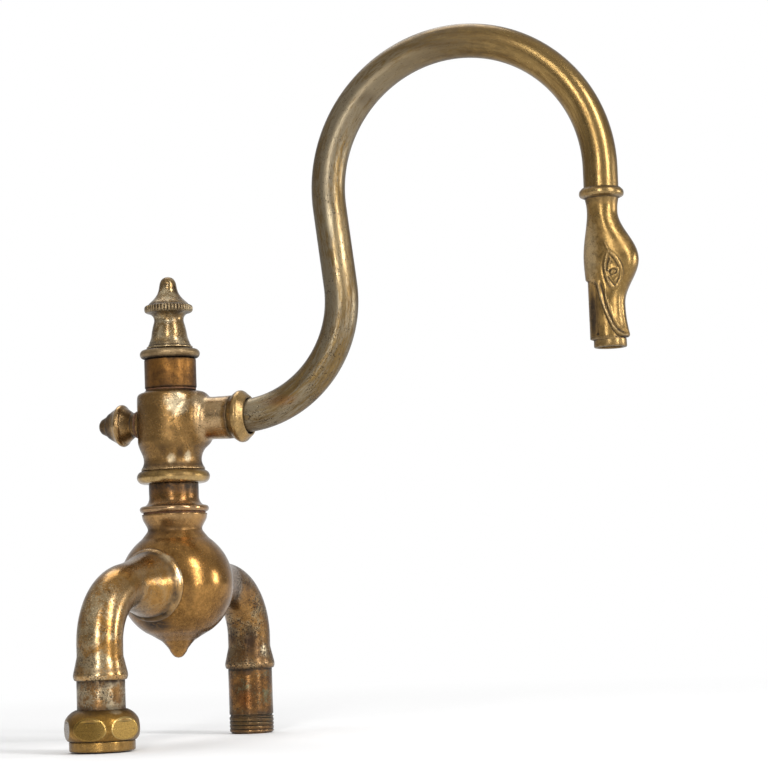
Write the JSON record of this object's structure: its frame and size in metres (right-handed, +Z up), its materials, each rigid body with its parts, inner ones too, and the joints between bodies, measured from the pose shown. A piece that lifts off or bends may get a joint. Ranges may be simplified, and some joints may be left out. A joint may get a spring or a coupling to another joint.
{
  "type": "swan neck tap",
  "caption": "Antique brass tap: legs rise from the inlets into a bulb, and a post carries a stop valve with a tall swivelling swan neck spout ending in a cast swan's head.",
  "frame": {"origin": "on the swivel axis, midway between the two inlets, at the height of the left tail's sealing face", "axes": "+Z up along the swivel axis; the legs lie along Y with the union nut's leg at -Y; the spout points along +X when it is turned back by its 8 degree rest swing towards +Y"},
  "size_m": [0.253, 0.1584, 0.3134],
  "materials": {
    "aged_brass": "aged brass, brown patina, worn bright on the high places",
    "dark_brass": "dark brown aged brass",
    "worn_brass": "worn brass, polished by use",
    "orange_brass": "smooth brass with an orange-brown patina",
    "pitted_brass": "pitted brass with dark pits",
    "nut_brass": "brushed brass with a greenish cast",
    "thread_brass": "dull brown brass with grime in the thread",
    "nickel_worn_brass": "brass with remains of grey nickel plating",
    "inner_brass": "machined brass",
    "fibre": "red fibre washer",
    "packing": "greased graphite packing",
    "valve_rubber": "black rubber washer",
    "screw_steel": "small blackened steel screw"
  },
  "bodies": {
    "base": {"mixing_bulb": "aged_brass", "left_leg": "aged_brass", "right_leg": "aged_brass", "left_tail": "thread_brass", "right_tail": "thread_brass", "left_tail_collar": "thread_brass", "union_washer": "fibre", "swivel_post": "dark_brass", "post_washer": "fibre", "valve_seat": "inner_brass"},
    "swivel": {"swivel_body": "dark_brass", "swivel_nut": "worn_brass", "swivel_packing": "packing", "side_plug": "aged_brass", "side_plug_washer": "fibre", "bonnet": "orange_brass", "bonnet_washer": "fibre", "gland_nut": "worn_brass", "gland_packing": "packing", "spout_ferrule": "worn_brass", "swan_neck": "nickel_worn_brass", "swan_head": "worn_brass"},
    "jumper": {"jumper_valve": "inner_brass", "valve_washer": "valve_rubber", "washer_nut": "inner_brass"},
    "spindle": {"spindle": "inner_brass", "knob": "pitted_brass", "knob_screw": "screw_steel"},
    "nut": {"union_nut": "nut_brass"}
  },
  "joints": [
    {"name": "spout_swivel", "type": "hinge", "parent": "base", "child": "swivel", "pos_m": [0, 0, 0.13], "axis": [0, 0, 1], "continuous": true},
    {"name": "valve_lift", "type": "slide", "parent": "swivel", "child": "jumper", "axis": [0, 0, 1], "range_m": [0, 0.00375]},
    {"name": "knob_turn", "type": "hinge", "parent": "jumper", "child": "spindle", "pos_m": [0, 0, 0.18], "axis": [0, 0, 1], "range_deg": [0, 540.1]},
    {"name": "union_nut_spin", "type": "hinge", "parent": "base", "child": "nut", "pos_m": [0, -0.065, 0], "axis": [0, 0, 1], "continuous": true}
  ],
  "couplings": [
    {"joint": "knob_turn", "follows": "valve_lift", "rad_per_m": 2513.3}
  ]
}
